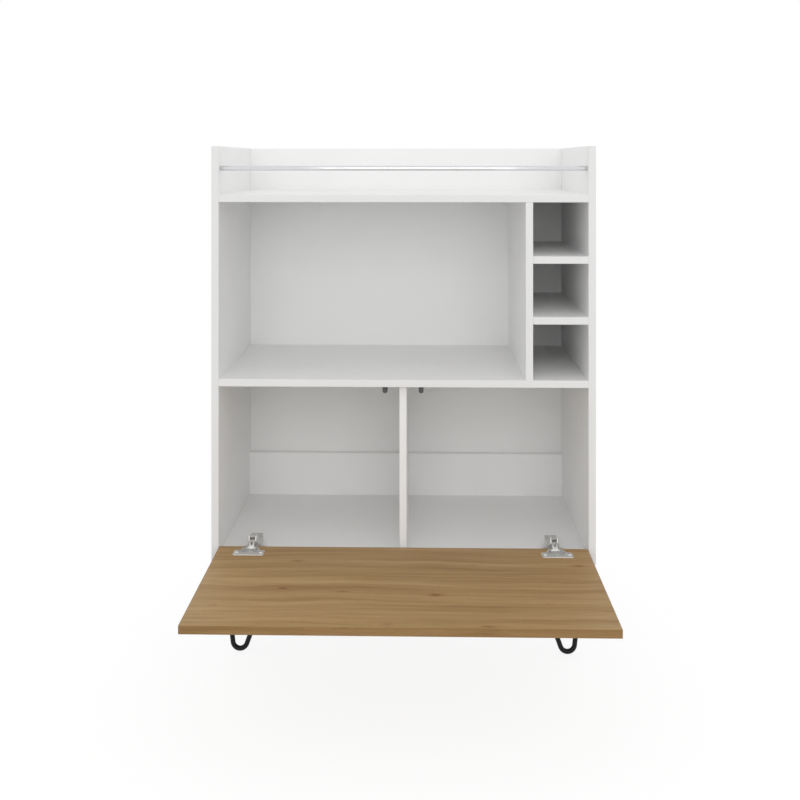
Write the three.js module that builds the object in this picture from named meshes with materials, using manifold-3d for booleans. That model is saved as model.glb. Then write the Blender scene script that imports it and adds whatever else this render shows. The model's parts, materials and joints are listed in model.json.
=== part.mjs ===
// Bar cabinet on hairpin legs with a fold-down door that makes a serving shelf.
// Millimetres, +Z up, the open front faces -Y. The origin lies on the floor, in the middle
// of the box round the cabinet with its door let down.

import * as THREE from 'three';
import { mergeVertices } from 'three/addons/utils/BufferGeometryUtils.js';
import Module from 'manifold-3d';

const wasm = await Module();
wasm.setup();

// Carcass
const cabinetWidth = 780;
const cabinetDepth = 385;
const boardThickness = 15;
const edgeRounding = 1;
const legHeight = 200;
const lowerClearHeight = 342;
const upperClearHeight = 360;
const galleryRise = 99;
const backThickness = 3;
const backInset = 9;
const grooveDepth = 5;
const grooveClearance = 0.2;
const backRailHeight = 100;
const centreDividerSetback = 17;
const notchClearance = 0.3;

// Bottle rack
const cubbyWidth = 111.5;
const lowestCubbyHeight = 113;
const middleCubbyHeight = 108;

// Gallery rod
const galleryRodRadius = 5;
const galleryRodHeight = 54;
const galleryRodSetback = 15;
const galleryRodSocket = 7.5;

// Fold-down door
const doorThickness = 15;
const doorSideGap = 2;
const doorBottomGap = 2;
const doorTopGap = 3;
const pivotAhead = 1;

// Hinge cups
const hingeInset = 66;
const cupRadius = 17.5;
const cupDepth = 12;
const cupWall = 1;
const cupEdgeDistance = 3.5;
const flangeLength = 62;
const flangeWidth = 24;
const flangeCorner = 4;
const flangeThickness = 1.2;
const flangeRim = 1.8;
const cupScrewSpacing = 48;
const cupScrewSetback = 12.5;
const cupPinInset = 7;
const cupPinDepth = 1.5;
const cupPinLength = 17.8;
const cupEarRadius = 2.6;

// Hinge links
const hingePinRadius = 1.2;
const linkWidth = 11;
const linkSheet = 1.6;
const linkWeb = 1.4;
const linkEyeRadius = 2.6;
const linkTipRadius = 2.5;
const linkCrown = 5.2;
const linkThroat = 0.9;
const linkWindowWidth = 3.4;
const linkWindowLength = 7;
const linkMiddleShare = 0.36;
const linkEyeUpperAngle = 120;
const linkEyeLowerAngle = 20;

// Hinge arms
const armPinDepth = 7.2;
const armPinHeight = 25.6;
const armSlotRise = 8.3;
const armSlotRun = 2.9;
const armSlotClearance = 0.5;
const armNoseWall = 1;
const armSheet = 1.8;
const armLinkClearance = 0.4;
const armWidth = 25;
const armSeatHeight = 16;
const armEndDepth = 70;
const armSkirtHeight = 6;
const armSkirtStart = 31;
const armShoulderStart = 34;
const armCrestDepth = 21;
const armCrestHeight = 32;
const armWebStart = 15;
const armChinDepth = 15.5;
const armChinHeight = 19.5;
const armThroatDepth = 24;
const armThroatHeight = 11;
const armFlareStart = 16;
const armFlareEnd = 26;
const armCornerRadius = 3;
const armScrewDepth = 60;
const armScrewHoleRadius = 3.1;
const armSlotDepth = 40;
const armSlotLength = 10;

// Hinge mounting plates
const plateThickness = 1.6;
const plateStart = 30;
const plateWingLength = 48;
const plateWingDepth = 14;
const plateSpineWidth = 18;
const plateSpineEnd = 70;
const plateRibStart = 36;
const plateRibEnd = 67;
const plateScrewSpacing = 32;
const plateCorner = 4;

// Touch catches under the middle shelf
const catchOffset = 37;
const catchWidth = 10;
const catchHeight = 17;
const catchLength = 44;
const catchCorner = 4;
const catchTravel = 4;
const catchDoorGap = 0.3;
const catchTabLength = 14;
const catchTabThickness = 2.5;
const plungerRadius = 3;
const plungerPadRadius = 4;
const plungerPadThickness = 2;
const plungerDome = 0.8;
const plungerLength = 34;

// Hairpin legs
const legRodRadius = 5;
const legBendRadius = 15;
const footInset = 51.5;
const footSetback = 40;
const outerLean = 7.5;
const innerLean = 20;
const legSplay = 5;
const legPlateLength = 134;
const legPlateWidth = 45;
const legPlateThickness = 3;
const legPlateCorner = 6;
const legPlateOffset = 20.5;
const legScrewReach = 34;
const legScrewSpread = 13;

// Screws
const screwRadius = 2;
const screwHeadRadius = 4;
const screwHeadHeight = 2.4;
const screwHeadCrown = 0.8;
const screwPoint = 3;
const screwLength = 12;

// Play between a piece and the hole that holds it, and the overrun of a cutter past a face
const fitGap = 0.3;
const overrun = 1;

// Facets on round forms
const edgeSegments = 2;
const cornerSegments = 4;
const cupSegments = 40;
const rodSegments = 20;
const screwSegments = 10;
const legSegments = 14;
const legBendSteps = 5;

// Places worked out from the sizes above
const innerWidth = cabinetWidth - 2 * boardThickness;
const innerHalf = innerWidth / 2;
const innerDepth = cabinetDepth - backInset - backThickness;
const bottomTop = legHeight + boardThickness;
const shelfUnder = bottomTop + lowerClearHeight;
const shelfTop = shelfUnder + boardThickness;
const topUnder = shelfTop + upperClearHeight;
const topTop = topUnder + boardThickness;
const sideHeight = topTop + galleryRise - legHeight;
const doorHeight = lowerClearHeight - doorBottomGap - doorTopGap;
const doorWidth = innerWidth - 2 * doorSideGap;
const doorReach = pivotAhead + doorHeight;
const frontY = (doorReach - cabinetDepth) / 2;
const pivotY = frontY - pivotAhead;
const pivotZ = bottomTop + doorBottomGap;
const doorFace = pivotAhead + doorThickness;
const hingeX = doorWidth / 2 - hingeInset;
const cupCentre = cupEdgeDistance + cupRadius;
const cupScrewLine = cupCentre + cupScrewSetback;
const cupPinZ = doorFace - cupPinDepth;
const linkRun = armPinDepth + pivotAhead + cupPinInset;
const linkRise = armPinHeight - doorBottomGap - cupPinZ;
const linkLength = Math.hypot(linkRun, linkRise);
const legTop = legHeight - legPlateThickness;
const footX = cabinetWidth / 2 - footInset;
const legPlateX = footX - legPlateOffset;
const legLeanIn = (legTop - legRodRadius) * Math.tan(THREE.MathUtils.degToRad(legSplay));

// Materials
function whiteBoard() {
  return new THREE.MeshStandardMaterial({ color: '#f3f3f2', roughness: 0.5, metalness: 0 });
}

function whiteHardboard() {
  return new THREE.MeshStandardMaterial({ color: '#f2f2f1', roughness: 0.6, metalness: 0 });
}

function oakBoard() {
  return new THREE.MeshStandardMaterial({ color: '#a5865e', roughness: 0.55, metalness: 0 });
}

function polishedChrome() {
  return new THREE.MeshStandardMaterial({ color: '#d4d6d8', roughness: 0.12, metalness: 1 });
}

function nickelSteel() {
  return new THREE.MeshStandardMaterial({ color: '#c9c8c4', roughness: 0.3, metalness: 1 });
}

function greyPlastic() {
  return new THREE.MeshStandardMaterial({ color: '#55565a', roughness: 0.6, metalness: 0 });
}

function blackPaint() {
  return new THREE.MeshStandardMaterial({ color: '#151517', roughness: 0.45, metalness: 0.3 });
}

// Solids and cuts
function toSolid(geometry) {
  const bare = geometry.clone();
  bare.deleteAttribute('normal');
  bare.deleteAttribute('uv');
  const merged = mergeVertices(bare);
  const vertProperties = merged.getAttribute('position').array;
  const triVerts = new Uint32Array(merged.getIndex().array);
  return new wasm.Manifold(new wasm.Mesh({ numProp: 3, vertProperties, triVerts }));
}

function toGeometry(solid) {
  const mesh = solid.getMesh();
  const geometry = new THREE.BufferGeometry();
  geometry.setAttribute('position', new THREE.BufferAttribute(mesh.vertProperties, 3));
  geometry.setIndex(new THREE.BufferAttribute(mesh.triVerts, 1));
  geometry.computeVertexNormals();
  return geometry;
}

function cut(geometry, cutters) {
  let solid = toSolid(geometry);
  for (const cutter of cutters) {
    solid = solid.subtract(toSolid(cutter));
  }
  return toGeometry(solid);
}

function join(geometries) {
  let solid = toSolid(geometries[0]);
  for (const geometry of geometries.slice(1)) {
    solid = solid.add(toSolid(geometry));
  }
  return toGeometry(solid);
}

function common(first, second) {
  return toGeometry(toSolid(first).intersect(toSolid(second)));
}

function mesh(name, geometry, material, x, y, z) {
  const piece = new THREE.Mesh(geometry, material);
  piece.name = name;
  piece.position.set(x, y, z);
  return piece;
}

// A box from its least corner
function block(x, y, z, sizeX, sizeY, sizeZ) {
  const geometry = new THREE.BoxGeometry(sizeX, sizeY, sizeZ);
  return geometry.translate(x + sizeX / 2, y + sizeY / 2, z + sizeZ / 2);
}

// A round bar along Z that starts at the given point
function uprightBar(x, y, z, radius, length, segments) {
  const geometry = new THREE.CylinderGeometry(radius, radius, length, segments);
  geometry.rotateX(Math.PI / 2);
  return geometry.translate(x, y, z + length / 2);
}

// A round bar along X with its middle at the given point
function crossBar(x, y, z, radius, length, segments) {
  const geometry = new THREE.CylinderGeometry(radius, radius, length, segments);
  geometry.rotateZ(Math.PI / 2);
  return geometry.translate(x, y, z);
}

// An outline drawn in depth and height, pulled out along X about its middle
function pulledAcross(outline, width, segments) {
  const options = { depth: width, bevelEnabled: false, curveSegments: segments };
  const geometry = new THREE.ExtrudeGeometry(outline, options);
  geometry.translate(0, 0, -width / 2);
  const turn = new THREE.Matrix4();
  turn.makeBasis(
    new THREE.Vector3(0, 1, 0),
    new THREE.Vector3(0, 0, 1),
    new THREE.Vector3(1, 0, 0),
  );
  return geometry.applyMatrix4(turn);
}

// An outline drawn in plan, pulled up from the given height
function pulledUp(outline, bottom, height, segments) {
  const options = { depth: height, bevelEnabled: false, curveSegments: segments };
  const geometry = new THREE.ExtrudeGeometry(outline, options);
  return geometry.translate(0, 0, bottom);
}

function roundedRectangle(left, low, right, high, radius) {
  const outline = new THREE.Shape();
  outline.absarc(right - radius, low + radius, radius, -Math.PI / 2, 0, false);
  outline.absarc(right - radius, high - radius, radius, 0, Math.PI / 2, false);
  outline.absarc(left + radius, high - radius, radius, Math.PI / 2, Math.PI, false);
  outline.absarc(left + radius, low + radius, radius, Math.PI, Math.PI * 1.5, false);
  return outline;
}

// Section of a board: its banded front edge has rounded corners, its rear edge is square
function boardSection(depth, thickness) {
  const section = new THREE.Shape();
  section.moveTo(depth, 0);
  section.lineTo(depth, thickness);
  section.absarc(edgeRounding, thickness - edgeRounding, edgeRounding, Math.PI / 2, Math.PI, false);
  section.absarc(edgeRounding, edgeRounding, edgeRounding, Math.PI, Math.PI * 1.5, false);
  return section;
}

// A lying board, its origin at the middle of the lower front edge
function lyingBoard(width, depth) {
  return pulledAcross(boardSection(depth, boardThickness), width, edgeSegments);
}

// A standing board, its origin at the lower end of the front edge's left corner
function standingBoard(depth, height) {
  const options = { depth: height, bevelEnabled: false, curveSegments: edgeSegments };
  const geometry = new THREE.ExtrudeGeometry(boardSection(depth, boardThickness), options);
  geometry.rotateZ(Math.PI / 2);
  return geometry.translate(boardThickness, 0, 0);
}

// Carcass boards
function sidePanel(side) {
  const innerFace = side < 0 ? boardThickness : 0;
  const grooveStart = side < 0 ? boardThickness - grooveDepth : -overrun;
  const grooveWidth = backThickness + 2 * grooveClearance;
  const groove = block(
    grooveStart,
    innerDepth - grooveClearance,
    -overrun,
    grooveDepth + overrun,
    grooveWidth,
    sideHeight + 2 * overrun,
  );
  const socketLength = 2 * (galleryRodSocket + fitGap);
  const socket = crossBar(
    innerFace,
    galleryRodSetback,
    topTop + galleryRodHeight - legHeight,
    galleryRodRadius + fitGap,
    socketLength,
    rodSegments,
  );
  return cut(standingBoard(cabinetDepth, sideHeight), [groove, socket]);
}

function bottomPanel() {
  const pilots = [];
  for (const place of legScrewPlaces()) {
    const start = -overrun;
    const depth = screwLength - legPlateThickness + fitGap + overrun;
    pilots.push(pilotHole(place.x, place.y - frontY, start, depth));
  }
  for (const x of plateScrewXs()) {
    const depth = screwLength - plateThickness + fitGap;
    const y = plateStart + plateWingDepth / 2;
    pilots.push(pilotHole(x, y, boardThickness - depth, depth + overrun));
  }
  return cut(lyingBoard(innerWidth, innerDepth), pilots);
}

function pilotHole(x, y, z, depth) {
  return uprightBar(x, y, z, screwRadius + fitGap, depth, screwSegments);
}

function middleShelf() {
  const pilots = [];
  for (const side of [-1, 1]) {
    const depth = screwLength - catchTabThickness + fitGap;
    const y = catchFront() + catchLength + catchTabLength / 2;
    pilots.push(pilotHole(side * catchOffset, y, -overrun, depth + overrun));
  }
  return cut(lyingBoard(innerWidth, innerDepth), pilots);
}

function centreDivider() {
  const depth = innerDepth - centreDividerSetback;
  const notch = block(
    -overrun,
    depth - boardThickness - notchClearance,
    -overrun,
    boardThickness + 2 * overrun,
    boardThickness + notchClearance + overrun,
    backRailHeight + notchClearance + overrun,
  );
  return cut(standingBoard(depth, lowerClearHeight), [notch]);
}

function backRail() {
  return block(-innerHalf, 0, 0, innerWidth, boardThickness, backRailHeight);
}

function backPanel() {
  const width = innerWidth + 2 * (grooveDepth - fitGap);
  return block(-width / 2, 0, 0, width, backThickness, sideHeight);
}

function carcass() {
  const group = new THREE.Group();
  const sideX = { left: -cabinetWidth / 2, right: innerHalf };
  group.add(mesh('side_panel_left', sidePanel(-1), whiteBoard(), sideX.left, frontY, legHeight));
  group.add(mesh('side_panel_right', sidePanel(1), whiteBoard(), sideX.right, frontY, legHeight));
  group.add(mesh('bottom_panel', bottomPanel(), whiteBoard(), 0, frontY, legHeight));
  group.add(mesh('middle_shelf', middleShelf(), whiteBoard(), 0, frontY, shelfUnder));
  const top = lyingBoard(innerWidth, innerDepth);
  group.add(mesh('top_panel', top, whiteBoard(), 0, frontY, topUnder));
  const dividerY = frontY + centreDividerSetback;
  const dividerX = -boardThickness / 2;
  group.add(mesh('centre_divider', centreDivider(), whiteBoard(), dividerX, dividerY, bottomTop));
  const backY = frontY + innerDepth;
  group.add(mesh('back_rail', backRail(), whiteBoard(), 0, backY - boardThickness, bottomTop));
  group.add(mesh('back_panel', backPanel(), whiteHardboard(), 0, backY, legHeight));
  return group;
}

function bottleRack() {
  const group = new THREE.Group();
  const rackX = innerHalf - cubbyWidth - boardThickness;
  const divider = standingBoard(innerDepth, upperClearHeight);
  group.add(mesh('wine_rack_divider', divider, whiteBoard(), rackX, frontY, shelfTop));
  const shelfX = innerHalf - cubbyWidth / 2;
  const lowerZ = shelfTop + lowestCubbyHeight;
  const upperZ = lowerZ + boardThickness + middleCubbyHeight;
  const lower = lyingBoard(cubbyWidth, innerDepth);
  const upper = lyingBoard(cubbyWidth, innerDepth);
  group.add(mesh('rack_shelf_lower', lower, whiteBoard(), shelfX, frontY, lowerZ));
  group.add(mesh('rack_shelf_upper', upper, whiteBoard(), shelfX, frontY, upperZ));
  return group;
}

function galleryRod() {
  const length = innerWidth + 2 * galleryRodSocket;
  const rod = crossBar(0, 0, 0, galleryRodRadius, length, rodSegments);
  const y = frontY + galleryRodSetback;
  return mesh('gallery_rod', rod, polishedChrome(), 0, y, topTop + galleryRodHeight);
}

// Screws: a lathe turned profile with a domed head, the head's seat at the origin
function screwGeometry() {
  const profile = [
    new THREE.Vector2(0, -screwHeadHeight),
    new THREE.Vector2(screwHeadRadius - screwHeadCrown, -screwHeadHeight),
    new THREE.Vector2(screwHeadRadius, -screwHeadHeight + screwHeadCrown),
    new THREE.Vector2(screwHeadRadius, 0),
    new THREE.Vector2(screwRadius, 0),
    new THREE.Vector2(screwRadius, screwLength - screwPoint),
    new THREE.Vector2(0, screwLength),
  ];
  const geometry = new THREE.LatheGeometry(profile, screwSegments);
  return geometry.rotateX(Math.PI / 2);
}

function screwUp(name, material, x, y, z) {
  return mesh(name, screwGeometry(), material, x, y, z);
}

function screwDown(name, material, x, y, z) {
  const geometry = screwGeometry();
  geometry.rotateX(Math.PI);
  return mesh(name, geometry, material, x, y, z);
}

// Hairpin legs: one bent rod each, welded under a steel plate
function legPath(outward, inward) {
  const splay = Math.tan(THREE.MathUtils.degToRad(legSplay));
  const outer = THREE.MathUtils.degToRad(outerLean);
  const inner = THREE.MathUtils.degToRad(innerLean);
  const bendZ = legRodRadius + legBendRadius;
  const topZ = legTop + overrun + legRodRadius;
  const flat = [];
  const innerTouch = Math.PI + inner;
  const outerTouch = 2 * Math.PI - outer;
  const innerStart = new THREE.Vector2(Math.cos(innerTouch), Math.sin(innerTouch));
  innerStart.multiplyScalar(legBendRadius);
  const innerRun = (topZ - bendZ - innerStart.y) * Math.tan(inner);
  const innerWay = new THREE.Vector2(Math.sin(inner), -Math.cos(inner));
  flat.push({ x: innerStart.x - innerRun, z: topZ, way: innerWay });
  for (let step = -legBendSteps; step <= legBendSteps; step += 1) {
    const touch = step < 0 ? innerTouch : outerTouch;
    const angle = THREE.MathUtils.lerp(Math.PI * 1.5, touch, Math.abs(step) / legBendSteps);
    const way = new THREE.Vector2(-Math.sin(angle), Math.cos(angle));
    const x = legBendRadius * Math.cos(angle);
    flat.push({ x, z: bendZ + legBendRadius * Math.sin(angle), way });
  }
  const outerStart = new THREE.Vector2(Math.cos(outerTouch), Math.sin(outerTouch));
  outerStart.multiplyScalar(legBendRadius);
  const outerRun = (topZ - bendZ - outerStart.y) * Math.tan(outer);
  const outerWay = new THREE.Vector2(Math.sin(outer), Math.cos(outer));
  flat.push({ x: outerStart.x + outerRun, z: topZ, way: outerWay });
  return flat.map((spot) => ({
    place: new THREE.Vector3(outward * spot.x, inward * (spot.z - legRodRadius) * splay, spot.z),
    way: new THREE.Vector3(outward * spot.way.x, inward * spot.way.y * splay, spot.way.y).normalize(),
  }));
}

// A round rod through a list of places, closed at both ends
function sweptRod(path, planeNormal, radius, sides) {
  const points = [];
  const faces = [];
  for (const { place, way } of path) {
    const across = new THREE.Vector3().crossVectors(planeNormal, way).normalize();
    const upright = new THREE.Vector3().crossVectors(way, across).normalize();
    for (let side = 0; side < sides; side += 1) {
      const angle = (side / sides) * 2 * Math.PI;
      const spot = place.clone();
      spot.addScaledVector(across, radius * Math.cos(angle));
      spot.addScaledVector(upright, radius * Math.sin(angle));
      points.push(spot);
    }
  }
  for (let ring = 0; ring < path.length - 1; ring += 1) {
    for (let side = 0; side < sides; side += 1) {
      const here = ring * sides + side;
      const next = ring * sides + ((side + 1) % sides);
      faces.push(here, next, next + sides);
      faces.push(here, next + sides, here + sides);
    }
  }
  const last = (path.length - 1) * sides;
  for (let side = 1; side < sides - 1; side += 1) {
    faces.push(0, side + 1, side);
    faces.push(last, last + side, last + side + 1);
  }
  const geometry = new THREE.BufferGeometry().setFromPoints(points);
  geometry.setIndex(faces);
  return geometry;
}

function hairpinLeg(outward, inward) {
  const splay = THREE.MathUtils.degToRad(legSplay);
  const normal = new THREE.Vector3(0, Math.cos(splay), -inward * Math.sin(splay));
  const rod = sweptRod(legPath(outward, inward), normal, legRodRadius, legSegments);
  const trim = block(
    -legPlateLength,
    -legPlateLength,
    legTop,
    2 * legPlateLength,
    2 * legPlateLength,
    legPlateLength,
  );
  return cut(rod, [trim]);
}

function legPlate(outward) {
  const half = legPlateLength / 2;
  const outline = roundedRectangle(-half, -legPlateWidth / 2, half, legPlateWidth / 2, legPlateCorner);
  for (const place of legScrewPattern(outward)) {
    const hole = new THREE.Path();
    hole.absarc(place.x, place.y, screwRadius + fitGap, 0, 2 * Math.PI, true);
    outline.holes.push(hole);
  }
  return pulledUp(outline, 0, legPlateThickness, cornerSegments);
}

function legScrewPattern(outward) {
  return [
    { x: -outward * legScrewReach, y: -legScrewSpread },
    { x: -outward * legScrewReach, y: legScrewSpread },
    { x: outward * legScrewReach, y: 0 },
  ];
}

function legCorners() {
  return [
    { name: 'front_left', outward: -1, inward: 1 },
    { name: 'front_right', outward: 1, inward: 1 },
    { name: 'rear_left', outward: -1, inward: -1 },
    { name: 'rear_right', outward: 1, inward: -1 },
  ];
}

function footY(inward) {
  return inward > 0 ? frontY + footSetback : frontY + cabinetDepth - footSetback;
}

function legPlateY(inward) {
  return footY(inward) + inward * legLeanIn;
}

function legScrewPlaces() {
  const places = [];
  for (const { name, outward, inward } of legCorners()) {
    legScrewPattern(outward).forEach((spot, index) => {
      const x = outward * legPlateX + spot.x;
      places.push({ name: `leg_screw_${name}_${index + 1}`, x, y: legPlateY(inward) + spot.y });
    });
  }
  return places;
}

function legs() {
  const group = new THREE.Group();
  for (const { name, outward, inward } of legCorners()) {
    const rod = hairpinLeg(outward, inward);
    group.add(mesh(`hairpin_leg_${name}`, rod, blackPaint(), outward * footX, footY(inward), 0));
    const plate = legPlate(outward);
    const plateX = outward * legPlateX;
    group.add(mesh(`leg_plate_${name}`, plate, blackPaint(), plateX, legPlateY(inward), legTop));
  }
  for (const { name, x, y } of legScrewPlaces()) {
    group.add(screwUp(name, blackPaint(), x, y, legTop));
  }
  return group;
}

// Hinge mounting plates, screwed to the bottom panel
function plateScrewXs() {
  const half = plateScrewSpacing / 2;
  return [-hingeX - half, -hingeX + half, hingeX - half, hingeX + half];
}

function hingePlate() {
  const wing = plateWingLength / 2;
  const spine = plateSpineWidth / 2;
  const wings = roundedRectangle(-wing, plateStart, wing, plateStart + plateWingDepth, plateCorner);
  const tongue = roundedRectangle(-spine, plateStart, spine, plateSpineEnd, plateCorner);
  const rib = roundedRectangle(-spine, plateRibStart, spine, plateRibEnd, plateCorner);
  const ribHeight = armSeatHeight - fitGap;
  const body = join([
    pulledUp(wings, 0, plateThickness, cornerSegments),
    pulledUp(tongue, 0, plateThickness, cornerSegments),
    pulledUp(rib, 0, ribHeight, cornerSegments),
  ]);
  const holes = [];
  for (const side of [-1, 1]) {
    const x = (side * plateScrewSpacing) / 2;
    const y = plateStart + plateWingDepth / 2;
    holes.push(pilotHole(x, y, -overrun, plateThickness + 2 * overrun));
  }
  return cut(body, holes);
}

// Hinge arms: a pressed channel that rises to a nose with a slot for the link's pin
function armSideOutline() {
  const noseRadius = hingePinRadius + armSlotClearance + armNoseWall;
  const lean = Math.atan2(armSlotRise, armSlotRun);
  const tipDepth = armPinDepth + armSlotRun;
  const tipHeight = armPinHeight + armSlotRise;
  const outline = new THREE.Shape();
  outline.absarc(armPinDepth, armPinHeight, noseRadius, lean + Math.PI / 2, 2 * Math.PI - lean, false);
  outline.lineTo(armChinDepth, armChinHeight);
  outline.lineTo(armThroatDepth, armThroatHeight);
  outline.lineTo(armSkirtStart, armSkirtHeight);
  outline.lineTo(armEndDepth, armSkirtHeight);
  outline.lineTo(armEndDepth, armSeatHeight + armSheet);
  outline.lineTo(armShoulderStart, armSeatHeight + armSheet);
  outline.lineTo(armCrestDepth, armCrestHeight);
  outline.absarc(tipDepth, tipHeight, noseRadius, lean - Math.PI / 2, lean + Math.PI / 2, false);
  return outline;
}

// The hollow under the arm's web, open below and behind
function armHollowOutline() {
  const outline = new THREE.Shape();
  const crestUnder = armCrestHeight - armSheet;
  outline.moveTo(armWebStart, 0);
  outline.lineTo(armEndDepth + overrun, 0);
  outline.lineTo(armEndDepth + overrun, armSeatHeight);
  outline.lineTo(armShoulderStart - armSheet / 2, armSeatHeight);
  outline.lineTo(armCrestDepth - armSheet / 2, crestUnder);
  outline.lineTo(armWebStart, crestUnder);
  return outline;
}

function armPlanOutline(inset, frontEnd, rearEnd) {
  const nose = linkWidth / 2 + armLinkClearance + armSheet - inset;
  const half = armWidth / 2 - inset;
  const outline = new THREE.Shape();
  outline.moveTo(-nose, frontEnd);
  outline.lineTo(nose, frontEnd);
  outline.lineTo(nose, armFlareStart);
  outline.lineTo(half, armFlareEnd);
  const cornerX = half - armCornerRadius;
  const cornerY = rearEnd - armCornerRadius;
  outline.absarc(cornerX, cornerY, armCornerRadius, 0, Math.PI / 2, false);
  outline.absarc(-cornerX, cornerY, armCornerRadius, Math.PI / 2, Math.PI, false);
  outline.lineTo(-half, armFlareEnd);
  outline.lineTo(-nose, armFlareStart);
  return outline;
}

function armSlotOutline() {
  const reach = hingePinRadius + armSlotClearance;
  const lean = Math.atan2(armSlotRise, armSlotRun);
  const tipDepth = armPinDepth + armSlotRun;
  const tipHeight = armPinHeight + armSlotRise;
  const outline = new THREE.Shape();
  outline.absarc(armPinDepth, armPinHeight, reach, lean + Math.PI / 2, lean + Math.PI * 1.5, false);
  outline.absarc(tipDepth, tipHeight, reach, lean - Math.PI / 2, lean + Math.PI / 2, false);
  return outline;
}

function hingeArm() {
  const height = armPinHeight + armSlotRise + armCrestHeight;
  const side = pulledAcross(armSideOutline(), armWidth, cornerSegments);
  const plan = pulledUp(armPlanOutline(0, 0, armEndDepth), 0, height, cornerSegments);
  const hollowSide = pulledAcross(armHollowOutline(), armWidth, cornerSegments);
  const rear = armEndDepth + armCornerRadius + overrun;
  const hollowPlan = pulledUp(armPlanOutline(armSheet, 0, rear), -overrun, height, cornerSegments);
  const throatHalf = linkWidth / 2 + armLinkClearance;
  const throat = block(-throatHalf, 0, 0, 2 * throatHalf, armWebStart, height);
  const pinSlot = pulledAcross(armSlotOutline(), armWidth, cornerSegments);
  const screwHole = uprightBar(0, armScrewDepth, 0, armScrewHoleRadius, height, rodSegments);
  const slotEnd = armSlotDepth + armSlotLength;
  const adjustSlot = roundedRectangle(
    -armScrewHoleRadius,
    armSlotDepth,
    armScrewHoleRadius,
    slotEnd,
    armScrewHoleRadius - fitGap,
  );
  const cutters = [
    common(hollowSide, hollowPlan),
    throat,
    pinSlot,
    screwHole,
    pulledUp(adjustSlot, 0, height, cornerSegments),
  ];
  return cut(common(side, plan), cutters);
}

// Hinge links: a crowned channel between the cup's pin and the arm's slot,
// drawn along the line from the one to the other
function linkOutline(drop) {
  const upper = THREE.MathUtils.degToRad(linkEyeUpperAngle);
  const lower = THREE.MathUtils.degToRad(linkEyeLowerAngle);
  const middle = linkLength * linkMiddleShare;
  const eyeX = linkEyeRadius * Math.cos(upper);
  const eyeY = linkEyeRadius * Math.sin(upper);
  const outline = new THREE.Shape();
  outline.absarc(linkLength, -drop, linkTipRadius, -Math.PI / 2, Math.PI / 2, false);
  outline.quadraticCurveTo(middle, linkCrown - drop, eyeX, eyeY - drop);
  outline.absarc(0, -drop, linkEyeRadius, upper, lower + 2 * Math.PI, false);
  outline.quadraticCurveTo(middle, linkThroat - drop, linkLength, -linkTipRadius - drop);
  return outline;
}

function hingeLink() {
  const body = pulledAcross(linkOutline(0), linkWidth, cornerSegments);
  const pocketWidth = linkWidth - 2 * linkSheet;
  const pocket = pulledAcross(linkOutline(linkWeb), pocketWidth, cornerSegments);
  const holeRadius = hingePinRadius + fitGap;
  const eye = crossBar(0, 0, 0, holeRadius, linkWidth + 2 * overrun, screwSegments);
  const tip = crossBar(0, linkLength, 0, holeRadius, linkWidth + 2 * overrun, screwSegments);
  const windowStart = (linkLength - linkWindowLength) / 2;
  const half = linkWindowWidth / 2;
  const window = block(-half, windowStart, 0, linkWindowWidth, linkWindowLength, linkCrown);
  const geometry = cut(body, [pocket, eye, tip, window]);
  return geometry.rotateX(Math.atan2(linkRise, linkRun));
}

// Hinge cups, their origin on the hinge axis below the middle of the cup's edge
function hingeCup() {
  const floor = doorFace - cupDepth;
  const inner = cupRadius - cupWall;
  const profile = [
    new THREE.Vector2(0, floor),
    new THREE.Vector2(cupRadius - cupWall, floor),
    new THREE.Vector2(cupRadius, floor + cupWall),
    new THREE.Vector2(cupRadius, doorFace + flangeThickness),
    new THREE.Vector2(inner, doorFace + flangeThickness),
    new THREE.Vector2(inner, floor + cupWall + cupWall),
    new THREE.Vector2(inner - cupWall, floor + cupWall),
    new THREE.Vector2(0, floor + cupWall),
  ];
  const bowl = new THREE.LatheGeometry(profile, cupSegments);
  bowl.rotateX(Math.PI / 2);
  bowl.translate(0, -cupCentre, 0);
  const wing = flangeLength / 2;
  const half = flangeWidth / 2;
  const wings = roundedRectangle(-wing, -cupScrewLine - half, wing, half - cupScrewLine, flangeCorner);
  const flange = join([
    pulledUp(wings, doorFace, flangeThickness, cornerSegments),
    uprightBar(0, -cupCentre, doorFace, cupRadius + flangeRim, flangeThickness, cupSegments),
  ]);
  const mouthDepth = flangeThickness + 2 * overrun;
  const mouth = uprightBar(0, -cupCentre, doorFace - overrun, inner, mouthDepth, cupSegments);
  const ring = cut(flange, [mouth]);
  const rimHeight = cupDepth + flangeThickness;
  const ears = common(
    crossBar(0, -cupPinInset, cupPinZ, cupEarRadius, cupPinLength, rodSegments),
    uprightBar(0, -cupCentre, floor, cupRadius, rimHeight, cupSegments),
  );
  const holes = [];
  for (const side of [-1, 1]) {
    const x = (side * cupScrewSpacing) / 2;
    holes.push(pilotHole(x, -cupScrewLine, doorFace - overrun, mouthDepth));
  }
  holes.push(linkRelief());
  const pinHole = hingePinRadius + fitGap;
  const pinHoleLength = cupPinLength + 2 * fitGap;
  holes.push(crossBar(0, -cupPinInset, cupPinZ, pinHole, pinHoleLength, screwSegments));
  return cut(join([bowl, ring, ears]), holes);
}

// Room for the link's eye in the rim of the cup
function linkRelief() {
  const half = linkWidth / 2 + fitGap;
  const low = cupPinZ - linkEyeRadius - fitGap;
  const height = doorFace + flangeThickness + overrun - low;
  const rear = cupPinInset + cupEarRadius + fitGap;
  return block(-half, -rear, low, 2 * half, rear + overrun, height);
}

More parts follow.
